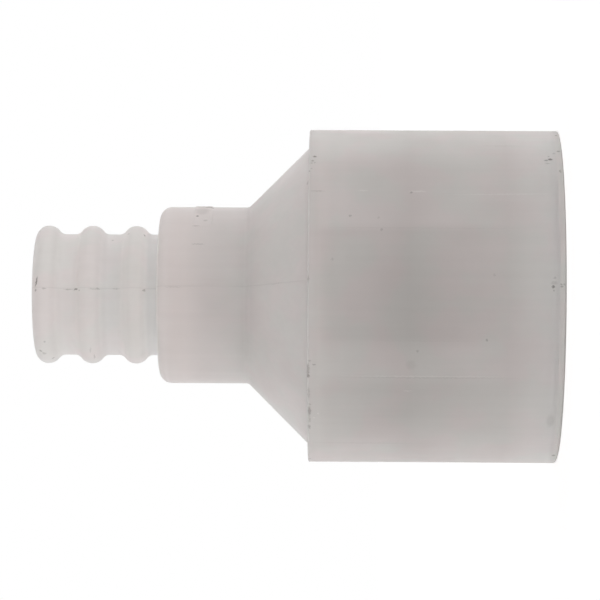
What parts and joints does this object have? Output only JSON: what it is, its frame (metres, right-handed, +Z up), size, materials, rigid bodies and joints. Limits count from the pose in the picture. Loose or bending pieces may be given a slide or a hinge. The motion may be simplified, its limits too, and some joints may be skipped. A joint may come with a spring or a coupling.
{
  "type": "coolant hose adapter",
  "caption": "Moulded reducing adapter: a wide plain socket for a pipe steps through a shoulder, cone and collar down to a slim spigot with rounded rings that grip a hose.",
  "frame": {"origin": "centre of the socket's mouth, in the plane of its rim, where the adapter stands", "axes": "+Z up along the flow axis from the mouth to the spigot's tip; -Y towards the side with the parting line that the picture shows, +X towards the raised pad on the hub"},
  "size_m": [0.0544, 0.0544, 0.0851],
  "materials": {
    "milky_plastic": "natural uncoloured plastic, milky and slightly translucent, with a satin surface"
  },
  "bodies": {
    "root": {"adapter_body": "milky_plastic"}
  },
  "joints": []
}
